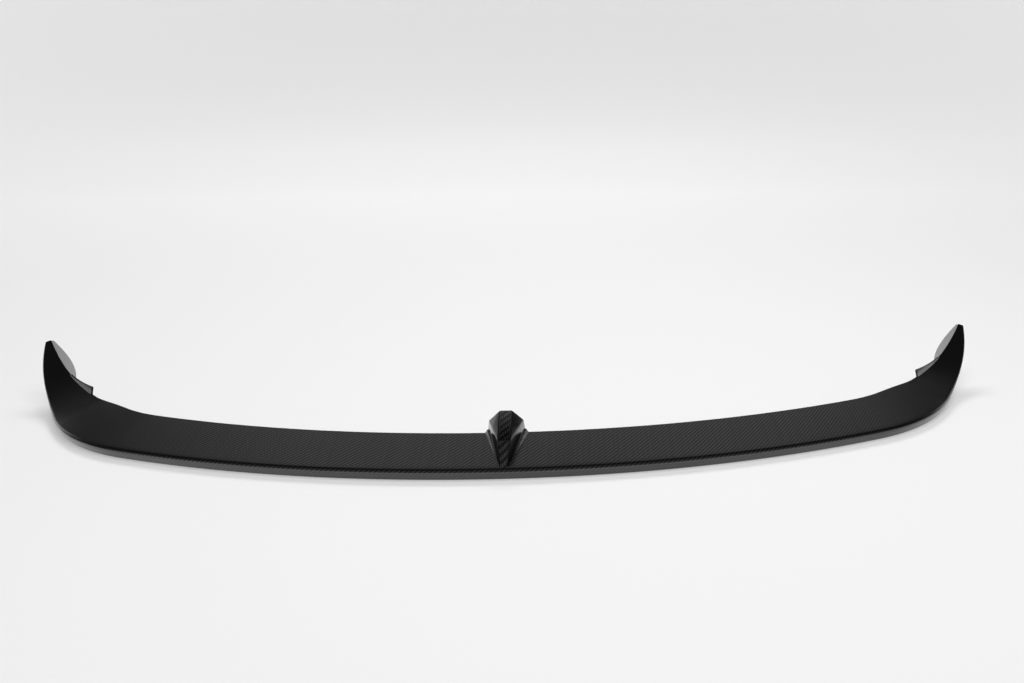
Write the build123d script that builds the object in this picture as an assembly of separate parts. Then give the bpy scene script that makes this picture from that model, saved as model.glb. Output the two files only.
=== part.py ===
from build123d import *
import os
from math import atan, cos, hypot, pi, radians, sin, tan

# A front lip spoiler moulded as one thin skin: a sloping top with a rolled nose and a foot flange below,
# two ends that sweep back, climb and narrow to a tip, and a hollow faceted keystone in the middle.
# Sizes are in millimetres and degrees. The part stands on its foot flange, with its nose towards -Y.

# Laminate
wall = 2.5

# Leading edge in plan, from the middle out: a wide arc, a corner arc, then a straight run to the tip
front_radius = 1760
front_sweep = 20
corner_radius = 345
end_heading = 57
end_run = 183

# Section of the strip, measured from the leading edge
skin_width = 88
skin_slope = 14
nose_height = 17
nose_setback = 6
nose_radius = 6
foot_radius = 3.5
foot_length = 40
foot_grind = 0.3

# Ends: how they narrow, steepen and climb
taper_lead = 122
taper_overrun = 40
tip_width = 24
tip_slope = 20
tip_nose = 7.5
tip_setback = 2
tip_radius = 3.3
tip_foot = 4.5
tip_cut = 3
climb_lead = 37
climb_height = 86
climb_power = 2.2
outer_round = 120
outer_inset = 18
outer_power = 3

# Upstand tab on the far edge where each end begins to climb
tab_start = 20
tab_length = 76
tab_height = 13
tab_lean = 13
tab_corner = 3.5

# Return flange along the far edge of each end
flange_start = 82
flange_width = 13
flange_tip_width = 4
flange_drop = 10
flange_joggle = 0.5
flange_corner = 3

# Faceted keystone: half widths, depths behind the leading edge and heights above the foot
key_nose_half = 5
key_nose_depth = 4
key_front_depth = 32
key_front_height = 52
key_top_half = 9.7
key_top_height = 76
key_shoulder_half = 27
key_shoulder_height = 60
key_base_half = 30
key_flank_half = 24
key_flank_depth = 75
key_skirt_half = 34.5
key_skirt_rise = 7

# Lofted sections of each half, which crowd together towards the tip, and of each tab and flange
half_sections = 12
crowding = 1.6
edge_sections = 4

front_length = front_radius * radians(front_sweep)
corner_length = corner_radius * radians(end_heading - front_sweep)
corner_end = front_length + corner_length
tip_end = corner_end + end_run - tip_cut


def blend(start, end, share):
    """Half-cosine change from start to end while share runs from 0 to 1, and level outside that."""
    share = min(max(share, 0), 1)
    return start + (end - start) * (1 - cos(pi * share)) / 2


def taper(start, end, along):
    """A size that changes over the narrowing end and reaches its end value a little past the tip."""
    share = (along - corner_end + taper_lead) / (taper_lead + end_run + taper_overrun)
    return blend(start, end, share)


def climb(along):
    """Height that the leading edge has gained at a distance along it from the middle."""
    share = (along - corner_end + climb_lead) / (climb_lead + end_run)
    return climb_height * max(share, 0) ** climb_power


def inset(along):
    """How far the rounded tip draws the leading edge in from its plan line."""
    share = (along - corner_end - end_run + outer_round) / outer_round
    return outer_inset * max(share, 0) ** outer_power


def heading(along):
    """Angle of the leading edge to the X axis, in radians."""
    turned = min(along, front_length) / front_radius
    turned += min(max(along - front_length, 0), corner_length) / corner_radius
    return turned


def plan_point(along):
    """Plan position of the leading edge on the right half."""
    end = heading(along)
    first = min(end, radians(front_sweep))
    run = max(along - corner_end, 0)
    x = front_radius * sin(first) + corner_radius * (sin(end) - sin(first)) + run * cos(end)
    y = front_radius * (1 - cos(first)) + corner_radius * (cos(first) - cos(end)) + run * sin(end)
    return x, y


def edge_point(along):
    """Leading edge in space, drawn in and lifted towards the tip, on the right half."""
    x, y = plan_point(along)
    turn = heading(along)
    return Vector(x - inset(along) * sin(turn), y + inset(along) * cos(turn), nose_height + climb(along))


def section_plane(along):
    """Plane across the leading edge, with X inwards from the edge and Z along it to the right."""
    side = -1 if along < 0 else 1
    reach = abs(along)
    turn = heading(reach)
    step = wall
    rise = atan((climb(reach + step) - climb(reach)) / step)
    point = edge_point(reach)
    return Plane(
        origin=(side * point.X, point.Y, point.Z),
        x_dir=(-side * sin(turn), cos(turn), 0),
        z_dir=(cos(rise) * cos(turn), side * cos(rise) * sin(turn), side * sin(rise)),
    )


def far_edge(along):
    """Far edge of the top skin in its section plane, and the skin's slope in radians."""
    reach = abs(along)
    slope = radians(taper(skin_slope, tip_slope, reach))
    width = taper(skin_width, tip_width, reach) - inset(reach)
    return Vector(width, width * tan(slope)), slope


def inner_chain(points):
    """The same open chain of points one wall further in, on its right-hand side."""
    normals = []
    for start, end in zip(points, points[1:]):
        along = (end - start).normalized()
        normals.append(Vector(along.Y, -along.X))
    before = [normals[0], *normals]
    after = [*normals, normals[-1]]
    return [p + (a + b) * (wall / (1 + a.dot(b))) for p, a, b in zip(points, before, after)]


def skin_section(along):
    """Closed section of the laminate: foot flange, undercut nose, rolled edge and sloping top skin."""
    reach = abs(along)
    nose = taper(nose_height, tip_nose, reach) + foot_grind
    setback = taper(nose_setback, tip_setback, reach)
    foot = taper(foot_length, tip_foot, reach)
    roll = taper(nose_radius, tip_radius, reach)
    bend = taper(foot_radius, tip_radius, reach)
    far, _ = far_edge(along)
    outer = [Vector(setback + foot, -nose), Vector(setback, -nose), Vector(0, 0), far]
    inner = inner_chain(outer)
    corners = outer + inner[::-1]
    radii = [0, bend, roll, 0, 0, roll - wall, 0, 0]
    return section_plane(along) * make_face(FilletPolyline(corners, radius=radii, close=True))


def make_skin():
    """The main skin, lofted from tip to tip."""
    shares = [step / half_sections for step in range(1, half_sections + 1)]
    half = [tip_end * (1 - (1 - share) ** crowding) for share in shares]
    stations = [-along for along in reversed(half)] + [0] + half
    return loft([skin_section(along) for along in stations])


def edge_loft(start, end, outline):
    """A strip along the right end's far edge, lofted from outline(far edge, slope, share)."""
    faces = []
    for step in range(edge_sections + 1):
        share = step / edge_sections
        along = start + (end - start) * share
        far, slope = far_edge(along)
        faces.append(section_plane(along) * make_face(Polyline(outline(far, slope, share), close=True)))
    return loft(faces)


def tab_outline(far, slope, share):
    """Upstand on the far edge that leans back and runs out to nothing where the end begins to climb."""
    height = tab_height * (1 - share) + wall * share / 4
    lean = tan(radians(tab_lean))
    root = far - Vector(wall, wall / cos(slope) + wall * tan(slope))
    rise = height + far.Y - root.Y
    across = Vector(wall + flange_joggle, 0)
    top = root + Vector(rise * lean, rise)
    return [root, root + across, top + across, top]


def flange_outline(far, slope, share):
    """Return flange behind the far edge: a lobe set down by its joggle that drops away from the skin."""
    width = 4 * flange_width * share * (1 - share) + flange_tip_width * share
    drop = tan(radians(flange_drop))
    root = far - Vector(wall, wall * tan(slope) + flange_joggle / cos(slope))
    reach = width + wall
    tip = root + Vector(reach, -reach * drop)
    deep = Vector(0, wall - flange_joggle)
    return [root, tip, tip - deep, root - deep]


def make_tab():
    """Right upstand tab, with its upper free corner rounded."""
    start = corner_end + tab_start
    tab = edge_loft(start, start + tab_length, tab_outline)
    plane = section_plane(start)
    end_edges = tab.edges().filter_by(lambda e: abs(plane.to_local_coords(e.center()).Z) < wall / 10)
    top = end_edges.sort_by(Axis.Z)[-1]
    return fillet(top, tab_corner)


def make_flange():
    """Right return flange, with its free corner rounded at the tip."""
    flange = edge_loft(corner_end + flange_start, tip_end, flange_outline)
    plane = section_plane(tip_end)
    end_edges = flange.edges().filter_by(lambda e: abs(plane.to_local_coords(e.center()).Z) < wall / 10)
    free = end_edges.sort_by(lambda e: plane.to_local_coords(e.center()).X)[-1]
    return fillet(free, flange_corner)


def keystone(inside):
    """Faceted keystone as a convex solid, or its hollow, a wall smaller and open below and behind."""
    thin = wall if inside else 0
    far, slope = far_edge(0)
    back = far.X + (2 * wall if inside else 0)
    below = 3 * wall if inside else wall
    points = []
    for side in (-1, 1):
        points += [
            (side * (key_nose_half - thin), key_nose_depth + 3 * thin, skin_height(key_nose_depth) - below),
            (side * (key_top_half - thin / 2), key_front_depth + thin, key_front_height - thin),
            (side * (key_top_half - thin / 2), back, key_top_height - thin),
            (side * (key_shoulder_half - thin), back, key_shoulder_height - thin / 2),
            (side * (key_base_half - thin), back, skin_height(far.X) - below),
            (side * (key_flank_half - thin), key_flank_depth, skin_height(key_flank_depth) - below),
        ]
    return ConvexPolyhedron(points)


def keystone_skirt():
    """Low flare that eases the keystone's flanks into the skin."""
    far, _ = far_edge(0)
    points = []
    for side in (-1, 1):
        points += [
            (side * key_nose_half, key_nose_depth, skin_height(key_nose_depth) - wall),
            (side * key_skirt_half, far.X, skin_height(far.X) - wall),
            (side * key_skirt_half, far.X, skin_height(far.X)),
            (side * key_base_half, far.X, skin_height(far.X) + key_skirt_rise),
        ]
    return ConvexPolyhedron(points)


def skin_height(depth):
    """Height of the top skin above the foot, at a depth behind the leading edge, in the middle."""
    return nose_height + depth * tan(radians(skin_slope))


def make_spoiler():
    """The whole moulding, with its foot ground flat at Z = 0 and centred on the origin in plan."""
    right = make_tab() + make_flange()
    shell = make_skin() + right + mirror(right, about=Plane.YZ)
    shell = shell + keystone_skirt() + keystone(inside=False) - keystone(inside=True)
    shell = split(shell, Plane.XY, keep=Keep.TOP)
    return Pos(0, -shell.bounding_box().center().Y, 0) * shell


spoiler = make_spoiler()
os.makedirs("parts", exist_ok=True)
export_step(spoiler, "parts/spoiler_shell.step")
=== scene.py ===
"""A one-piece front lip spoiler in woven carbon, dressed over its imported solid.

Every shape is worked out in millimetres from the lip's leading edge and put into the frame in metres.
"""

import logging
import math
from dataclasses import dataclass, field
from enum import IntEnum

import bmesh
import bpy
import numpy as np
from mathutils import Matrix, Vector


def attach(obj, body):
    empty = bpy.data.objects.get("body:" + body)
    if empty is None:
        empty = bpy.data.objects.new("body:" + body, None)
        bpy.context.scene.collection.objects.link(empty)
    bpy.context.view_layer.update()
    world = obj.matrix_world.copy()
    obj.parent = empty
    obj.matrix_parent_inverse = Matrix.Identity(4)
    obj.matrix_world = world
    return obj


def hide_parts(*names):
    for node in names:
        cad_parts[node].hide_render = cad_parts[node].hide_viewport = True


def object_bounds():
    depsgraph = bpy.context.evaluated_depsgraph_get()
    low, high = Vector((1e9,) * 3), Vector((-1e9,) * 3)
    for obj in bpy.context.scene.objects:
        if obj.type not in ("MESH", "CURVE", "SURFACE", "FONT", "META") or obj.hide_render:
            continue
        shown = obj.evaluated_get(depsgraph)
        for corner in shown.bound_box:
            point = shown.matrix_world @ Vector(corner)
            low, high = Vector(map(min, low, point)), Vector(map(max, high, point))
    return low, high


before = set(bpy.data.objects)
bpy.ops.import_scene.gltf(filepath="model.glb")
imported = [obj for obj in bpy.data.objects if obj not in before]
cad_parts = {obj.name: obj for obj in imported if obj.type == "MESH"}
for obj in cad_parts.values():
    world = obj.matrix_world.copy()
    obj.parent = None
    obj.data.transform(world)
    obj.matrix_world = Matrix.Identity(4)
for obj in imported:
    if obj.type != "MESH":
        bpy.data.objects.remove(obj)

CAD_LOW, CAD_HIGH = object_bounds()
NODE = "spoiler_shell"
MM = 0.001
FABRIC = "fabric"
LOG = logging.getLogger("lip")


class Face(IntEnum):
    """Material slots shared by every piece of the lip."""

    COATED = 0
    RAW = 1
    TRIMMED = 2
    SANDED = 3
    MATT = 4
    ROLLED = 5
    BOLD = 6
    FACET = 7


# Shader graphs


class Wire:
    """A shader value that adds a Math node for each operator used on it."""

    def __init__(self, graph: "Graph", socket: bpy.types.NodeSocket) -> None:
        """Keeps the graph and the output socket."""
        self.graph = graph
        self.socket = socket

    def math(self, operation: str, *values: "Wire | float") -> "Wire":
        """Adds one Math node.

        Args:
            operation: Blender's name of the operation.
            values: the node's inputs, in order.

        Returns:
            The node's result.
        """
        return self.graph.node("ShaderNodeMath", {"operation": operation}, dict(enumerate(values)))

    def __add__(self, other: "Wire | float") -> "Wire":
        """Sum."""
        return self.math("ADD", self, other)

    __radd__ = __add__

    def __sub__(self, other: "Wire | float") -> "Wire":
        """Difference."""
        return self.math("SUBTRACT", self, other)

    def __rsub__(self, other: "Wire | float") -> "Wire":
        """Difference from a number."""
        return self.math("SUBTRACT", other, self)

    def __mul__(self, other: "Wire | float") -> "Wire":
        """Product."""
        return self.math("MULTIPLY", self, other)

    __rmul__ = __mul__

    def __lt__(self, other: "Wire | float") -> "Wire":
        """One where this value is the smaller, zero elsewhere."""
        return self.math("LESS_THAN", self, other)

    def floor(self) -> "Wire":
        """Whole part."""
        return self.math("FLOOR", self)

    def fract(self) -> "Wire":
        """Part after the point."""
        return self.math("FRACT", self)

    def size(self) -> "Wire":
        """The value without its sign."""
        return self.math("ABSOLUTE", self)

    def clamped(self) -> "Wire":
        """The value held between zero and one."""
        return self.math("MINIMUM", self.math("MAXIMUM", self, 0.0), 1.0)

    def ramped(self, start: float, end: float) -> "Wire":
        """Zero at the start, one at the end, straight between them and level outside."""
        return ((self - start) * (1.0 / (end - start))).clamped()


class Graph:
    """A material's or the world's node tree, emptied and ready for new nodes."""

    def __init__(self, owner: bpy.types.Material | bpy.types.World) -> None:
        """Turns the owner's nodes on and clears them."""
        owner.use_nodes = True
        self.tree = owner.node_tree
        self.tree.nodes.clear()

    def node(
        self, kind: str, settings: dict | None = None, sockets: dict | None = None, out: int | str = 0
    ) -> Wire:
        """Adds a node.

        Args:
            kind: the node's type.
            settings: attributes to set first; pairs of place and grey under "stops" fill a colour ramp.
            sockets: input names or numbers with the value or wire that each one takes.
            out: which output to hand back.

        Returns:
            The chosen output.
        """
        made = self.tree.nodes.new(kind)
        for name, value in (settings or {}).items():
            if name == "stops":
                self._fill_ramp(made.color_ramp, value)
            else:
                setattr(made, name, value)
        for name, value in (sockets or {}).items():
            if isinstance(value, Wire):
                self.tree.links.new(value.socket, made.inputs[name])
            else:
                made.inputs[name].default_value = value
        return Wire(self, made.outputs[out] if made.outputs else None)

    @staticmethod
    def _fill_ramp(ramp: bpy.types.ColorRamp, stops: tuple[tuple[float, float], ...]) -> None:
        """Sets a colour ramp's stops to greys."""
        while len(ramp.elements) < len(stops):
            ramp.elements.new(0.5)
        for element, (place, grey) in zip(ramp.elements, stops):
            element.position = place
            element.color = (grey, grey, grey, 1.0)

    def mix(self, factor: Wire | float, low: tuple | Wire, high: tuple | Wire) -> Wire:
        """Mixes two colours by a factor."""
        sockets = {0: factor, 6: low, 7: high}
        return self.node("ShaderNodeMix", {"data_type": "RGBA"}, sockets, out=2)


def grey(level: float) -> tuple[float, float, float, float]:
    """A neutral colour of one level."""
    return (level, level, level, 1.0)


# Finishes, with painted glint, highlight and shade


@dataclass(frozen=True)
class TwillCoat:
    """Two-by-two carbon twill under a clear coat.

    The fabric map counts repeats of four tows each way. A tow lies on top where its number less the number
    of the tow that crosses it leaves 0 or 1 over four. Tows on top that run along the lip carry a painted
    glint, lightest along their crowns, and the crossing tows are painted in shade. Far from the middle the
    weave gives way to one flat grey, painted shade where the ends mirror the dark room.
    """

    name: str = "coated twill"
    tows: float = 4.0
    over_share: float = 0.499
    # Greys of the tows: painted shade on the crossing tows, a painted glint on those along the lip.
    shaded_tow: float = 0.018
    glinting_tow: float = 0.1
    tow_scatter: float = 0.3
    roughness: float = 0.3
    coat_roughness: float = 0.04
    relief: float = 0.12
    relief_depth: float = 0.0002
    # Towards the ends a flat grey of painted shade takes the weave's place, from its start to where it is
    # full.
    end_shade_start: float = 70.0
    end_shade_end: float = 112.0
    end_shade_tow: float = 0.039

    def build(self) -> bpy.types.Material:
        """Makes the material."""
        material = bpy.data.materials.new(self.name)
        graph = Graph(material)
        place = graph.node("ShaderNodeUVMap", {"uv_map": FABRIC})
        split = graph.node("ShaderNodeSeparateXYZ", None, {0: place})
        along = split * self.tows
        across = Wire(graph, split.socket.node.outputs[1]) * self.tows
        over = ((along.floor() - across.floor()) * (1.0 / self.tows)).fract() < self.over_share
        crown_along = self._crown(along)
        crown_across = self._crown(across)
        crown = over * crown_along + (1.0 - over) * crown_across
        upper = {0: along.floor() * over, 1: across.floor() * (1.0 - over)}
        tow = graph.node("ShaderNodeCombineXYZ", None, upper)
        flat = {"noise_dimensions": "2D"}
        scatter = graph.node("ShaderNodeTexWhiteNoise", flat, {"Vector": tow}, out="Value")
        # Painted glint on lengthwise tows on top, lightest at their crowns; crossing tows in painted shade.
        level = over * (1.0 - self.tow_scatter + self.tow_scatter * scatter)
        # Painted shade: towards the ends one flat grey replaces the weave.
        end_shade = split.size().ramped(self.end_shade_start, self.end_shade_end)
        woven = graph.mix((level * crown_along).clamped(), grey(self.shaded_tow), grey(self.glinting_tow))
        colour = graph.mix(end_shade, woven, grey(self.end_shade_tow))
        relief = {"Strength": self.relief, "Distance": self.relief_depth, "Height": crown}
        bump = graph.node("ShaderNodeBump", None, relief)
        shader = graph.node(
            "ShaderNodeBsdfPrincipled",
            None,
            {
                "Base Color": colour,
                "Metallic": 1.0,
                "Roughness": self.roughness,
                "Coat Weight": 1.0,
                "Coat Roughness": self.coat_roughness,
                "Normal": bump,
            },
        )
        graph.node("ShaderNodeOutputMaterial", None, {"Surface": shader})
        return material

    @staticmethod
    def _crown(tows: Wire) -> Wire:
        """Rounded height of a tow: one along its middle and zero at its edges."""
        offset = tows.fract() * 2.0 - 1.0
        return 1.0 - offset * offset


@dataclass(frozen=True)
class PlainLaminate:
    """Uncoated laminate: the bag side of the skin, a trimmed edge, a sanded flange or a matt tab.

    With a fade, the lighter grey is a painted highlight that gives way to the darker one between two
    heights on the cloth, in repeats.
    """

    name: str
    dark: float
    light: float
    roughness: float
    grain: float = 900.0
    detail: float = 3.0
    fade: tuple[float, float] | None = None

    def build(self) -> bpy.types.Material:
        """Makes the material, with a fine mottle between two greys."""
        material = bpy.data.materials.new(self.name)
        graph = Graph(material)
        place = graph.node("ShaderNodeTexCoord", out="Object")
        noise = {"Vector": place, "Scale": self.grain, "Detail": self.detail}
        mottle = graph.node("ShaderNodeTexNoise", None, noise)
        # Painted highlight: the light grey holds near the tab's root and fades to the dark grey towards its
        # top.
        if self.fade:
            cloth = graph.node("ShaderNodeUVMap", {"uv_map": FABRIC})
            split = graph.node("ShaderNodeSeparateXYZ", None, {0: cloth})
            full, gone = self.fade
            mottle = mottle * Wire(graph, split.socket.node.outputs[1]).ramped(gone, full)
        colour = graph.mix(mottle, grey(self.dark), grey(self.light))
        surface = {"Base Color": colour, "Roughness": self.roughness}
        shader = graph.node("ShaderNodeBsdfPrincipled", None, surface)
        graph.node("ShaderNodeOutputMaterial", None, {"Surface": shader})
        return material


def lip_materials() -> list[bpy.types.Material]:
    """The lip's eight finishes, in the order of Face; several carry painted glint, highlight and shade."""
    finishes = {
        Face.COATED: TwillCoat(),
        Face.RAW: PlainLaminate("raw laminate", 0.012, 0.03, 0.5),
        Face.TRIMMED: PlainLaminate("trimmed edge", 0.01, 0.022, 0.6),
        Face.SANDED: PlainLaminate("sanded flange", 0.24, 0.34, 0.45),
        # The tab's light grey is a painted highlight at its root, fading to the dark grey near its top
        # edge.
        Face.MATT: PlainLaminate("matt tab with painted root highlight", 0.07, 0.75, 0.5, fade=(0.4, 1.733)),
        # Front edge: resin-rich twill, painted lighter and in painted shade towards the ends.
        Face.ROLLED: TwillCoat("resin-rich twill painted lighter, with shaded ends", shaded_tow=0.05, glinting_tow=0.07, end_shade_tow=0.01),
        # The keystone's front facets carry a painted glint, its flanks painted shade.
        Face.BOLD: TwillCoat("twill with painted glint", shaded_tow=0.006, glinting_tow=0.17, roughness=0.29),
        Face.FACET: TwillCoat("twill in painted shade", shaded_tow=0.01, glinting_tow=0.025, coat_roughness=0.1),
    }
    return [finishes[face].build() for face in Face]


# Shape of the lip


@dataclass(frozen=True)
class LeadingEdge:
    """The lip's front edge: in plan a wide arc, a corner arc and a straight run each side of the middle.

    Towards the tips it climbs and draws in.
    """

    front_radius: float = 1760.0
    front_sweep: float = math.radians(20.0)
    corner_radius: float = 345.0
    end_heading: float = math.radians(57.0)
    end_run: float = 183.0
    tip_cut: float = 3.0
    height: float = 17.0
    climb_lead: float = 37.0
    climb_height: float = 86.0
    climb_power: float = 2.2
    outer_round: float = 120.0
    outer_inset: float = 18.0
    outer_power: float = 3.0
    samples: int = 4000

    @property
    def front_length(self) -> float:
        """Length of the wide arc on one side."""
        return self.front_radius * self.front_sweep

    @property
    def corner_end(self) -> float:
        """Distance along the edge from the middle to the end of the corner."""
        return self.front_length + self.corner_radius * (self.end_heading - self.front_sweep)

    @property
    def tip_end(self) -> float:
        """Distance along the edge from the middle to the tip's cut end."""
        return self.corner_end + self.end_run - self.tip_cut

    def heading(self, along: np.ndarray) -> np.ndarray:
        """Angle of the edge to the X axis: distance over radius, summed over the two arcs."""
        front = np.minimum(along, self.front_length) / self.front_radius
        corner = np.clip(along - self.front_length, 0.0, self.corner_end - self.front_length)
        return front + corner / self.corner_radius

    def plan(self, along: np.ndarray) -> tuple[np.ndarray, np.ndarray]:
        """Plan place of the edge on the right half, as the sums of sines and cosines of its arcs.

        Args:
            along: distances from the middle.

        Returns:
            The X and Y of each point.
        """
        end = self.heading(along)
        first = np.minimum(end, self.front_sweep)
        run = np.maximum(along - self.corner_end, 0.0)
        wide, tight = self.front_radius, self.corner_radius
        x = wide * np.sin(first) + tight * (np.sin(end) - np.sin(first)) + run * np.cos(end)
        y = wide * (1 - np.cos(first)) + tight * (np.cos(first) - np.cos(end)) + run * np.sin(end)
        return x, y

    def climb(self, along: np.ndarray) -> np.ndarray:
        """Height gained towards the tip: a power of the share of the climb that is behind."""
        share = (along - self.corner_end + self.climb_lead) / (self.climb_lead + self.end_run)
        return self.climb_height * np.maximum(share, 0.0) ** self.climb_power

    def inset(self, along: np.ndarray) -> np.ndarray:
        """How far the rounded tip draws the edge in: a power of the share of the rounding behind."""
        share = (along - self.corner_end - self.end_run + self.outer_round) / self.outer_round
        return self.outer_inset * np.maximum(share, 0.0) ** self.outer_power

    def place(self, signed: np.ndarray, inward: np.ndarray, up: np.ndarray) -> np.ndarray:
        """Carries section points into space.

        Each section stands across the edge: its first axis points in from the edge, level, and its second
        up, square to the edge's climb.

        Args:
            signed: distances along the edge, negative on the left, one for each section.
            inward: distance in from the edge, one row for each section.
            up: height above the edge, one row for each section.

        Returns:
            An array of points, sections by points by three.
        """
        side = np.where(signed < 0, -1.0, 1.0)[:, None]
        reach = np.abs(signed)
        turn = self.heading(reach)[:, None]
        along = np.linspace(0.0, self.tip_end, self.samples)
        rise = np.arctan(np.gradient(self.climb(along), along))
        rise = np.interp(reach, along, rise)[:, None]
        x, y = (part[:, None] for part in self.plan(reach))
        offset = inward + self.inset(reach)[:, None]
        points = np.empty((*inward.shape, 3))
        points[..., 0] = side * (x - offset * np.sin(turn) - up * np.sin(rise) * np.cos(turn))
        points[..., 1] = y + offset * np.cos(turn) - up * np.sin(rise) * np.sin(turn)
        points[..., 2] = self.height + self.climb(reach)[:, None] + up * np.cos(rise)
        return points

    def cloth_length(self, x: np.ndarray) -> np.ndarray:
        """Length of the edge out to each X, because cross tows lie straight fore and aft."""
        along = np.linspace(0.0, self.tip_end, self.samples)
        return np.sign(x) * np.interp(np.abs(x), self.plan(along)[0], along)


@dataclass(frozen=True)
class LipSection:
    """The laminate's section from the foot to the far edge, and how it changes towards the tips."""

    edge: LeadingEdge
    wall: float = 2.5
    skin_width: float = 88.0
    skin_slope: float = math.radians(14.0)
    nose_height: float = 17.0
    nose_setback: float = 6.0
    nose_radius: float = 6.0
    foot_radius: float = 3.5
    foot_length: float = 40.0
    taper_lead: float = 122.0
    taper_overrun: float = 40.0
    tip_width: float = 24.0
    tip_slope: float = math.radians(20.0)
    tip_nose: float = 7.5
    tip_setback: float = 2.0
    tip_radius: float = 3.3
    tip_foot: float = 4.5
    sole_points: int = 3
    arc_points: int = 9
    skin_points: int = 12

    def taper(self, start: float, end: float, reach: np.ndarray) -> np.ndarray:
        """Half-cosine change from start to end over the narrowing end."""
        length = self.taper_lead + self.edge.end_run + self.taper_overrun
        share = np.clip((reach - self.edge.corner_end + self.taper_lead) / length, 0.0, 1.0)
        return start + (end - start) * (1 - np.cos(np.pi * share)) / 2

    def far_edge(self, signed: np.ndarray) -> tuple[np.ndarray, np.ndarray]:
        """Far edge of the top skin in its section, as points, and the skin's slope."""
        reach = np.abs(signed)
        slope = self.taper(self.skin_slope, self.tip_slope, reach)
        width = self.taper(self.skin_width, self.tip_width, reach) - self.edge.inset(reach)
        return np.stack([width, width * np.tan(slope)], -1), slope

    def chain(self, signed: np.ndarray, inner: bool) -> np.ndarray:
        """Open chain of section points from the foot's free end to the far edge.

        The corners are rounded by arcs; the inner chain is the outer one moved in by the wall.

        Args:
            signed: distances along the edge, one for each section.
            inner: whether to give the inner side of the laminate.

        Returns:
            Points, sections by points by two.
        """
        reach = np.abs(signed)
        nose = self.taper(self.nose_height, self.tip_nose, reach)
        setback = self.taper(self.nose_setback, self.tip_setback, reach)
        foot = self.taper(self.foot_length, self.tip_foot, reach)
        roll = self.taper(self.nose_radius, self.tip_radius, reach)
        bend = self.taper(self.foot_radius, self.tip_radius, reach)
        far, _ = self.far_edge(signed)
        heel = np.stack([setback + foot, -nose], -1)
        sharp_toe = np.stack([setback, -nose], -1)
        corners = np.stack([heel, sharp_toe, np.zeros_like(far), far], 1)
        if inner:
            corners = self._moved_in(corners)
            roll, bend = roll - self.wall, bend - self.wall
        toe = self._arc(corners[:, 0], corners[:, 1], corners[:, 2], bend)
        crease = self._arc(corners[:, 1], corners[:, 2], corners[:, 3], roll)
        share = np.linspace(0.0, 1.0, self.skin_points + 1)[None, 1:, None]
        skin = crease[:, -1:] + (corners[:, 3:] - crease[:, -1:]) * share
        share = np.linspace(0.0, 1.0, self.sole_points + 1)[None, :-1, None]
        sole = corners[:, :1] + (toe[:, :1] - corners[:, :1]) * share
        return np.concatenate([sole, toe, crease, skin], 1)

    def _moved_in(self, corners: np.ndarray) -> np.ndarray:
        """Corners moved in by the wall: along both sides' summed normals, over one plus their cosine."""
        run = np.diff(corners, axis=1)
        run /= np.linalg.norm(run, axis=-1, keepdims=True)
        normal = np.stack([run[..., 1], -run[..., 0]], -1)
        before = np.concatenate([normal[:, :1], normal], 1)
        after = np.concatenate([normal, normal[:, -1:]], 1)
        cosine = (before * after).sum(-1, keepdims=True)
        return corners + (before + after) * self.wall / (1 + cosine)

    def _arc(
        self, before: np.ndarray, corner: np.ndarray, after: np.ndarray, radius: np.ndarray
    ) -> np.ndarray:
        """Rounded corner: radius times sine ahead, and radius times one less cosine to the right."""
        ahead = corner - before
        ahead /= np.linalg.norm(ahead, axis=-1, keepdims=True)
        leave = after - corner
        leave /= np.linalg.norm(leave, axis=-1, keepdims=True)
        right = np.stack([ahead[:, 1], -ahead[:, 0]], -1)
        turn = np.arccos(np.clip((ahead * leave).sum(-1), -1.0, 1.0))
        start = corner - ahead * (radius * np.tan(turn / 2))[:, None]
        angle = turn[:, None] * np.linspace(0.0, 1.0, self.arc_points)[None]
        reach = radius[:, None] * np.sin(angle)
        swing = radius[:, None] * (1 - np.cos(angle))
        return start[:, None] + ahead[:, None] * reach[..., None] + right[:, None] * swing[..., None]


# Meshes


def ring_faces(rows: int, ring: int) -> np.ndarray:
    """Quads of a closed ring of points carried over rows, four corner numbers each."""
    row, column = np.meshgrid(np.arange(rows - 1), np.arange(ring), indexing="ij")
    following = (column + 1) % ring
    start = row * ring
    quads = [start + column, start + following, start + ring + following, start + ring + column]
    return np.stack(quads, -1).reshape(-1, 4)


def cap_faces(first: int, ring: int) -> np.ndarray:
    """Quads that close one end of a ring whose second half runs back beside its first."""
    k = np.arange(ring // 2 - 1)
    return np.stack([first + k, first + ring - 1 - k, first + ring - 2 - k, first + k + 1], -1)


def outward(points: np.ndarray, faces: np.ndarray) -> np.ndarray:
    """The same faces, all turned round if the volume that they close comes out negative."""
    a, b, c, d = (points[faces[:, k]] for k in range(4))
    volume = (a * np.cross(b, c)).sum() + (a * np.cross(c, d)).sum()
    return faces if volume > 0 else faces[:, ::-1]


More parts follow.
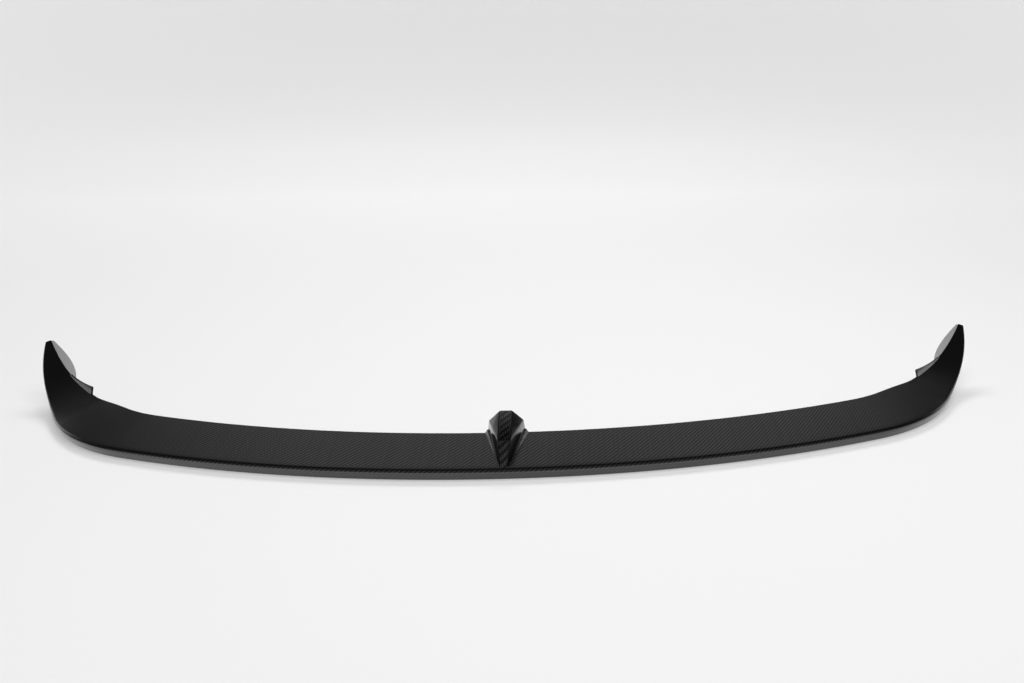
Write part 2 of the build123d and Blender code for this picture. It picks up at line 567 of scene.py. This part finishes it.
@dataclass
class Workshop:
    """Puts finished surfaces into the frame."""

    materials: list[bpy.types.Material]
    shift: float
    repeat: float = 7.36
    smooth: float = math.radians(33.0)

    def mesh(
        self, name: str, points: np.ndarray, faces: np.ndarray, cloth: np.ndarray, face: np.ndarray
    ) -> bpy.types.Object:
        """Makes an object from a surface.

        Args:
            name: the piece's name.
            points: places in millimetres.
            faces: four corner numbers each.
            cloth: place on the cloth in millimetres, one pair for each point.
            face: Face of each quad.

        Returns:
            The new object, at the origin.
        """
        data = bpy.data.meshes.new(name)
        moved = (points + np.array([0.0, self.shift, 0.0])) * MM
        faces = outward(points, faces)
        data.from_pydata(moved.tolist(), [], faces.tolist())
        fabric = data.uv_layers.new(name=FABRIC)
        corner = np.empty(len(data.loops), np.int32)
        data.loops.foreach_get("vertex_index", corner)
        fabric.data.foreach_set("uv", (cloth[corner] / self.repeat).astype(np.float32).ravel())
        for material in self.materials:
            data.materials.append(material)
        data.polygons.foreach_set("material_index", face.astype(np.int32))
        data.shade_smooth()
        data.set_sharp_from_angle(angle=self.smooth)
        data.validate()
        made = bpy.data.objects.new(name, data)
        bpy.context.scene.collection.objects.link(made)
        return made

    def dress(self, piece: bpy.types.Object) -> None:
        """Hands a finished piece to the frame."""
        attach(piece, "root")
        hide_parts(NODE)
        LOG.info("%s: %d faces", piece.name, len(piece.data.polygons))

    def carve(self, piece: bpy.types.Object, cutter: bpy.types.Object) -> None:
        """Cuts one closed piece out of another and keeps the result as the piece's mesh."""
        cut = piece.modifiers.new("hollow", "BOOLEAN")
        cut.operation = "DIFFERENCE"
        cut.solver = "EXACT"
        cut.object = cutter
        bpy.context.view_layer.update()
        graph = bpy.context.evaluated_depsgraph_get()
        carved = bpy.data.meshes.new_from_object(piece.evaluated_get(graph), depsgraph=graph)
        piece.modifiers.remove(cut)
        old, piece.data = piece.data, carved
        bpy.data.meshes.remove(old)
        carved.set_sharp_from_angle(angle=self.smooth)


@dataclass
class LipSkin:
    """The main skin, from tip to tip.

    The resin-rich front edge, its twill painted lighter and in painted shade towards the tips, ends a few
    quads short of the crease's middle.
    """

    section: LipSection
    spacing: float = 4.0
    open_crease: int = 2

    def surface(self) -> tuple[np.ndarray, np.ndarray, np.ndarray, np.ndarray]:
        """The laminate's section carried along the leading edge, closed at both tips.

        Returns:
            Points, faces, places on the cloth and the Face of each quad.
        """
        edge = self.section.edge
        half = max(int(edge.tip_end / self.spacing), 2)
        signed = np.linspace(-edge.tip_end, edge.tip_end, 2 * half + 1)
        outer = self.section.chain(signed, inner=False)
        inner = self.section.chain(signed, inner=True)
        loop = np.concatenate([outer, inner[:, ::-1]], 1)
        rows, ring = loop.shape[:2]
        points = edge.place(signed, loop[..., 0], loop[..., 1])
        step = np.linalg.norm(np.diff(outer, axis=1), axis=-1)
        length = np.concatenate([np.zeros((rows, 1)), np.cumsum(step, 1)], 1)
        middle = self.section.sole_points + self.section.arc_points + self.section.arc_points // 2
        length -= length[:, middle : middle + 1]
        across = np.concatenate([length, length[:, ::-1]], 1)
        cloth = np.stack([edge.cloth_length(points[..., 0]), across], -1)
        caps = [cap_faces(0, ring)[:, ::-1], cap_faces((rows - 1) * ring, ring)]
        faces = np.concatenate([ring_faces(rows, ring), *caps])
        chain = ring // 2
        band = np.full(ring, Face.RAW)
        band[: chain - 1] = Face.COATED
        # The front edge's resin-rich twill is painted lighter and in painted shade towards the ends.
        band[: middle - self.open_crease] = Face.ROLLED
        band[[chain - 1, ring - 1]] = Face.TRIMMED
        face = np.concatenate([np.tile(band, rows - 1), np.full(2 * (chain - 1), Face.TRIMMED)])
        return points.reshape(-1, 3), faces, cloth.reshape(-1, 2), face


@dataclass
class FarEdgeStrip:
    """A strip that stands on or hangs from the far edge of one end."""

    section: LipSection
    rows: int = 48
    crowding: float = 1.6

    def surface(self, side: int) -> tuple[np.ndarray, np.ndarray, np.ndarray, np.ndarray]:
        """The strip's four-sided outline carried along the far edge, closed at both ends.

        Args:
            side: 1 for the right end and -1 for the left.

        Returns:
            Points, faces, places on the cloth and the Face of each quad.
        """
        share = np.linspace(0.0, 1.0, self.rows) ** self.crowding
        start, end = self.span()
        signed = side * (start + (end - start) * share)
        far, slope = self.section.far_edge(signed)
        outline = self.outline(far, slope, share)
        edge = self.section.edge
        points = edge.place(signed, outline[..., 0], outline[..., 1])
        across = outline - far[:, None]
        cloth = np.stack([edge.cloth_length(points[..., 0]), across.sum(-1)], -1)
        ring = outline.shape[1]
        caps = [cap_faces(0, ring)[:, ::-1], cap_faces((self.rows - 1) * ring, ring)]
        faces = np.concatenate([ring_faces(self.rows, ring), *caps])
        face = np.concatenate([np.tile(self.bands(), self.rows - 1), np.full(2, Face.TRIMMED)])
        return points.reshape(-1, 3), faces, cloth.reshape(-1, 2), face

    def span(self) -> tuple[float, float]:
        """Where the strip starts and ends along the leading edge."""
        raise NotImplementedError

    def outline(self, far: np.ndarray, slope: np.ndarray, share: np.ndarray) -> np.ndarray:
        """Four corners of the strip in each section."""
        raise NotImplementedError

    def bands(self) -> np.ndarray:
        """Face of each of the four sides."""
        raise NotImplementedError


@dataclass
class EdgeTab(FarEdgeStrip):
    """Upstand on the far edge where an end begins to climb."""

    start: float = 20.0
    length: float = 76.0
    height: float = 13.0
    lean: float = math.radians(13.0)
    corner: float = 3.5
    proud: float = 0.5
    run_out: float = 0.25

    def span(self) -> tuple[float, float]:
        """Where the tab starts and runs out."""
        start = self.section.edge.corner_end + self.start
        return start, start + self.length

    def outline(self, far: np.ndarray, slope: np.ndarray, share: np.ndarray) -> np.ndarray:
        """A wall on the far edge that leans back and loses height evenly, with its first corner rounded."""
        wall = self.section.wall
        short = np.clip(self.corner - self.length * share, 0.0, self.corner)
        height = self.height * (1 - share) + wall * share * self.run_out
        height = height - self.corner + np.sqrt(self.corner**2 - short**2)
        drop = wall / np.cos(slope) + wall * np.tan(slope)
        root = far - np.stack([np.full_like(drop, wall), drop], -1)
        rise = height + drop
        top = root + np.stack([rise * np.tan(self.lean), rise], -1)
        across = np.array([wall + self.proud, 0.0])
        return np.stack([root, root + across, top + across, top], 1)

    def bands(self) -> np.ndarray:
        """Matt in front, with a painted highlight at its root; raw behind."""
        return np.array([Face.RAW, Face.RAW, Face.TRIMMED, Face.MATT])


@dataclass
class EndFlange(FarEdgeStrip):
    """Return flange behind the far edge of an end."""

    start: float = 82.0
    width: float = 13.0
    tip_width: float = 4.0
    drop: float = math.radians(10.0)
    joggle: float = 0.5

    def span(self) -> tuple[float, float]:
        """From where the end climbs to its tip."""
        return self.section.edge.corner_end + self.start, self.section.edge.tip_end

    def outline(self, far: np.ndarray, slope: np.ndarray, share: np.ndarray) -> np.ndarray:
        """A lobe, widest about halfway, that is set down by its joggle and drops away from the skin."""
        wall = self.section.wall
        reach = 4 * self.width * share * (1 - share) + self.tip_width * share + wall
        sink = wall * np.tan(slope) + self.joggle / np.cos(slope)
        root = far - np.stack([np.full_like(reach, wall), sink], -1)
        tip = root + np.stack([reach, -reach * np.tan(self.drop)], -1)
        deep = np.array([0.0, wall - self.joggle])
        return np.stack([root, tip, tip - deep, root - deep], 1)

    def bands(self) -> np.ndarray:
        """Sanded above, raw below."""
        return np.array([Face.SANDED, Face.TRIMMED, Face.RAW, Face.RAW])


@dataclass
class Keystone:
    """Hollow faceted form in the middle of the lip."""

    section: LipSection
    nose_half: float = 5.0
    nose_depth: float = 4.0
    front_depth: float = 32.0
    front_height: float = 52.0
    top_half: float = 9.7
    top_height: float = 76.0
    shoulder_half: float = 27.0
    shoulder_height: float = 60.0
    base_half: float = 30.0
    flank_half: float = 24.0
    flank_depth: float = 75.0
    skirt_half: float = 34.5
    skirt_rise: float = 7.0
    edge_round: float = 1.6
    edge_steps: int = 3
    cloth_spread: float = 1.7
    front_turn: float = 0.3
    flat_angle: float = math.radians(1.0)

    def skin_height(self, depth: float) -> float:
        """Height of the top skin at a depth behind the leading edge."""
        return self.section.nose_height + depth * math.tan(self.section.skin_slope)

    def corners(self, inside: bool) -> np.ndarray:
        """Corner points of the outer form, or of the hollow, a wall smaller and open below and behind."""
        wall = self.section.wall
        thin = wall if inside else 0.0
        depth = self.section.skin_width
        back = depth + (2 * wall if inside else 0.0)
        below = 3 * wall if inside else wall
        nose_level = self.skin_height(self.nose_depth) - below
        half = np.array(
            [
                (self.nose_half - thin, self.nose_depth + 3 * thin, nose_level),
                (self.top_half - thin / 2, self.front_depth + thin, self.front_height - thin),
                (self.top_half - thin / 2, back, self.top_height - thin),
                (self.shoulder_half - thin, back, self.shoulder_height - thin / 2),
                (self.base_half - thin, back, self.skin_height(depth) - below),
                (self.flank_half - thin, self.flank_depth, self.skin_height(self.flank_depth) - below),
            ]
        )
        return np.concatenate([half, half * np.array([-1.0, 1.0, 1.0])])

    def skirt_corners(self) -> np.ndarray:
        """Corner points of the low flare that eases the flanks into the skin."""
        wall = self.section.wall
        depth = self.section.skin_width
        level = self.skin_height(depth)
        half = np.array(
            [
                (self.nose_half, self.nose_depth, self.skin_height(self.nose_depth) - wall),
                (self.skirt_half, depth, level - wall),
                (self.skirt_half, depth, level),
                (self.base_half, depth, level + self.skirt_rise),
            ]
        )
        return np.concatenate([half, half * np.array([-1.0, 1.0, 1.0])])

    def hull(
        self, shop: Workshop, name: str, corners: np.ndarray, finish: Face | None = None
    ) -> bpy.types.Object:
        """Convex form through corners, with its cloth laid flat on each facet.

        Args:
            shop: where the form goes.
            name: the object's name.
            corners: the form's corner points in millimetres.
            finish: one finish for every facet; without it the front facets carry a painted glint and the
            flanks painted shade. The raw hollow stays sharp, and other forms have their edges rounded.

        Returns:
            The closed form.
        """
        form = bmesh.new()
        for corner in corners:
            form.verts.new((corner + np.array([0.0, shop.shift, 0.0])) * MM)
        bmesh.ops.convex_hull(form, input=form.verts)
        bmesh.ops.dissolve_limit(form, angle_limit=self.flat_angle, verts=form.verts, edges=form.edges)
        if finish is not Face.RAW:
            bmesh.ops.bevel(
                form,
                geom=form.edges,
                offset=self.edge_round * MM,
                segments=self.edge_steps,
                profile=0.5,
                affect="EDGES",
            )
        bmesh.ops.recalc_face_normals(form, faces=form.faces)
        fabric = form.loops.layers.uv.new(FABRIC)
        for facet in form.faces:
            across = Vector((1.0, 0.0, 0.0)) - facet.normal * facet.normal.x
            across.normalize()
            along = facet.normal.cross(across)
            repeat = shop.repeat * (1.0 if finish is Face.COATED else self.cloth_spread) * MM
            for loop in facet.loops:
                loop[fabric].uv = loop.vert.co.dot(across) / repeat, loop.vert.co.dot(along) / repeat
            # Front facets get the painted glint and side facets the painted shade.
            facing = Face.BOLD if abs(facet.normal.x) < self.front_turn else Face.FACET
            facet.material_index = facing if finish is None else finish
        data = bpy.data.meshes.new(name)
        form.to_mesh(data)
        form.free()
        for material in shop.materials:
            data.materials.append(material)
        data.shade_smooth()
        data.set_sharp_from_angle(angle=shop.smooth)
        made = bpy.data.objects.new(name, data)
        bpy.context.scene.collection.objects.link(made)
        return made


@dataclass
class Lip:
    """The whole moulding: skin, keystone, tabs and return flanges."""

    section: LipSection = field(default_factory=lambda: LipSection(LeadingEdge()))

    def build(self) -> None:
        """Makes every piece and hands it to the frame."""
        skin = LipSkin(self.section)
        points, faces, cloth, face = skin.surface()
        shift = CAD_LOW.y / MM - points[:, 1].min()
        shop = Workshop(lip_materials(), shift)
        skin_piece = shop.mesh("lip_skin", points, faces, cloth, face)
        stone = Keystone(self.section)
        hollow = stone.hull(shop, "keystone_hollow", stone.corners(inside=True), Face.RAW)
        pieces = [
            skin_piece,
            stone.hull(shop, "keystone", stone.corners(inside=False)),
            stone.hull(shop, "keystone_skirt", stone.skirt_corners(), Face.COATED),
        ]
        for piece in pieces:
            shop.carve(piece, hollow)
        bpy.data.objects.remove(hollow)
        for side, word in ((1, "right"), (-1, "left")):
            pieces.append(shop.mesh(f"tab_{word}", *EdgeTab(self.section).surface(side)))
            pieces.append(shop.mesh(f"flange_{word}", *EndFlange(self.section).surface(side)))
        for piece in pieces:
            shop.dress(piece)


# Studio


@dataclass(frozen=True)
class Room:
    """Dark room round the stage: a soft box high behind the lip, and a pale band and panels low behind it.

    Each list pairs the height of a direction, or its cosine to the soft box, with a grey. A pair of numbers
    is where a share starts and where it is full.
    """

    softbox_way: tuple[float, float, float] = (-0.02, 0.68, 0.73)
    softbox: tuple[tuple[float, float], ...] = (
        (0.74, 0.0),
        (0.8, 0.03),
        (0.84, 0.08),
        (0.9, 0.24),
        (0.94, 0.34),
        (0.98, 0.39),
    )
    band: tuple[tuple[float, float], ...] = ((0.0, 0.7), (0.2, 0.4), (0.3, 0.08), (0.5, 0.02), (1.0, 0.02))
    sides: tuple[tuple[float, float], ...] = ((0.0, 0.2), (0.12, 0.08), (0.3, 0.05), (1.0, 0.05))
    behind: tuple[float, float] = (0.1875, 0.8125)
    ahead: tuple[float, float] = (-0.2, -0.7)
    ahead_level: float = 0.16
    softbox_under: tuple[float, float] = (0.96, 0.7933)
    panel_aside: tuple[float, float] = (0.67, 0.7414)
    panel_under: tuple[float, float] = (0.54, 0.3971)
    panel_behind: tuple[float, float] = (0.25, 0.5)
    panel_level: float = 0.6

    def level(self, graph: Graph) -> Wire:
        """Light that comes from each direction, as one grey."""
        way = graph.node("ShaderNodeTexCoord", out="Generated")
        cosine = {0: way, 1: self.softbox_way}
        facing = graph.node("ShaderNodeVectorMath", {"operation": "DOT_PRODUCT"}, cosine, out=1)
        right = graph.node("ShaderNodeSeparateXYZ", None, {0: way})
        outputs = right.socket.node.outputs
        back = Wire(graph, outputs[1])
        height = Wire(graph, outputs[2]).clamped()
        softbox = graph.node("ShaderNodeValToRGB", {"stops": self.softbox}, {0: facing})
        sides = graph.node("ShaderNodeValToRGB", {"stops": self.sides}, {0: height})
        band = graph.node("ShaderNodeValToRGB", {"stops": self.band}, {0: height})
        low = graph.mix(back.ramped(*self.behind), sides, band)
        panels = right.size().ramped(*self.panel_aside) * height.ramped(*self.panel_under)
        panels = panels * back.ramped(*self.panel_behind) * self.panel_level
        ahead = back.ramped(*self.ahead) * self.ahead_level
        return low + softbox * height.ramped(*self.softbox_under) + ahead + panels


@dataclass(frozen=True)
class Lamp:
    """Broad area lamp that faces the lip and is kept out of reflections."""

    name: str
    place: tuple[float, float, float]
    size: tuple[float, float]
    power: float

    def build(self) -> None:
        """Adds the lamp to the scene."""
        light = bpy.data.lights.new(self.name, "AREA")
        light.shape = "RECTANGLE"
        light.size, light.size_y = self.size
        light.energy = self.power
        lamp = bpy.data.objects.new(self.name, light)
        lamp.location = self.place
        lamp.rotation_euler = Vector(self.place).to_track_quat("Z", "Y").to_euler()
        lamp.visible_glossy = False
        bpy.context.scene.collection.objects.link(lamp)


@dataclass(frozen=True)
class Studio:
    """Pale floor that sweeps up behind the lip, soft light and the photograph's camera."""

    floor_level: float = 0.86
    floor_gap: float = 0.0003
    camera_lift: float = 0.45
    lift_start: float = 1.8
    lift_end: float = 6.8
    shown_level: float = 0.9
    reach: float = 9.0
    back: float = 2.7
    bend: float = 1.0
    bend_points: int = 24
    wall: float = 1.1
    room: Room = Room()
    fill: Lamp = Lamp("fill lamp", (0.4, -0.6, 2.3), (1.8, 1.6), 34.0)
    key: Lamp = Lamp("key lamp", (-0.3, 4.5, 5.0), (3.0, 2.0), 280.0)
    lens: float = 30.0
    sensor: float = 36.0
    sideways: float = -0.1063
    nearest: float = 0.02
    farthest: float = 60.0
    camera_place: tuple[float, float, float] = (0.1086, -1.3403, 0.5811)
    elevation: float = math.radians(18.0)
    yaw: float = math.radians(-3.201)
    roll: float = math.radians(-0.083)

    def build(self) -> None:
        """Makes the stage, the light and the camera."""
        self._sweep()
        self._world()
        self.fill.build()
        self.key.build()
        self._camera()

    def _sweep(self) -> None:
        """Floor and backdrop: a level line, a quarter circle and an upright line carried along X."""
        angle = np.linspace(0.0, np.pi / 2, self.bend_points)
        curve = self.back + self.bend * np.sin(angle)
        y = np.concatenate([[-self.reach], curve, [self.back + self.bend]])
        z = np.concatenate([[0.0], self.bend * (1 - np.cos(angle)), [self.wall]]) - self.floor_gap
        count = len(y)
        sides = (-self.reach, self.reach)
        points = np.concatenate([np.stack([np.full(count, x), y, z], -1) for x in sides])
        k = np.arange(count - 1)
        faces = np.stack([k, k + count, k + count + 1, k + 1], -1)
        data = bpy.data.meshes.new("sweep")
        data.from_pydata(points.tolist(), [], faces.tolist())
        data.shade_smooth()
        data.materials.append(self._paper())
        sweep = bpy.data.objects.new("sweep", data)
        bpy.context.scene.collection.objects.link(sweep)

    def _paper(self) -> bpy.types.Material:
        """White paper, lightened where it is seen, so that its shadows are soft and fade with distance."""
        material = bpy.data.materials.new("white paper")
        graph = Graph(material)
        seen = graph.node("ShaderNodeLightPath", out="Is Camera Ray")
        path = seen.socket.node
        glossy = Wire(graph, path.outputs["Is Glossy Ray"])
        mirrored = glossy + Wire(graph, path.outputs["Is Transmission Ray"])
        plain = graph.node("ShaderNodeBsdfDiffuse", None, {"Color": grey(self.floor_level)})
        glow = graph.node("ShaderNodeEmission", None, {"Color": grey(self.shown_level), "Strength": 1.0})
        place = graph.node("ShaderNodeTexCoord", out="Object")
        distance = graph.node("ShaderNodeVectorMath", {"operation": "LENGTH"}, {0: place}, out=1)
        away = distance.ramped(self.lift_start, self.lift_end)
        factor = (seen + mirrored).clamped() * (self.camera_lift + (1.0 - self.camera_lift) * away)
        paper = graph.node("ShaderNodeMixShader", None, {0: factor, 1: plain, 2: glow})
        graph.node("ShaderNodeOutputMaterial", None, {"Surface": paper})
        return material

    def _world(self) -> None:
        """The room for reflections and scattered light, and a plain pale ground for the camera."""
        world = bpy.data.worlds.new("room")
        bpy.context.scene.world = world
        graph = Graph(world)
        seen = graph.node("ShaderNodeLightPath", out="Is Camera Ray")
        colour = graph.mix(seen, self.room.level(graph), grey(self.shown_level))
        glow = graph.node("ShaderNodeBackground", None, {"Color": colour, "Strength": 1.0})
        graph.node("ShaderNodeOutputWorld", None, {"Surface": glow})

    def _camera(self) -> None:
        """The photograph's camera, with its picture shifted sideways."""
        data = bpy.data.cameras.new("camera")
        data.lens = self.lens
        data.sensor_width = self.sensor
        data.sensor_fit = "HORIZONTAL"
        data.shift_x = self.sideways
        data.clip_start = self.nearest
        data.clip_end = self.farthest
        turn, tilt = self.yaw, self.elevation
        back = Vector((math.sin(turn) * math.cos(tilt), -math.cos(turn) * math.cos(tilt), math.sin(tilt)))
        level = Vector((math.cos(turn), math.sin(turn), 0.0))
        upright = back.cross(level)
        right = math.cos(self.roll) * level + math.sin(self.roll) * upright
        up = math.cos(self.roll) * upright - math.sin(self.roll) * level
        camera = bpy.data.objects.new("camera", data)
        turned = Matrix((right, up, back)).transposed().to_4x4()
        camera.matrix_world = Matrix.Translation(self.camera_place) @ turned
        bpy.context.scene.collection.objects.link(camera)
        bpy.context.scene.camera = camera


def main() -> None:
    """Builds the lip and its studio."""
    logging.basicConfig(level=logging.INFO, format="%(name)s: %(message)s")
    bpy.context.scene.view_settings.view_transform = "Standard"
    Lip().build()
    Studio().build()


if __name__ == "__main__":
    main()
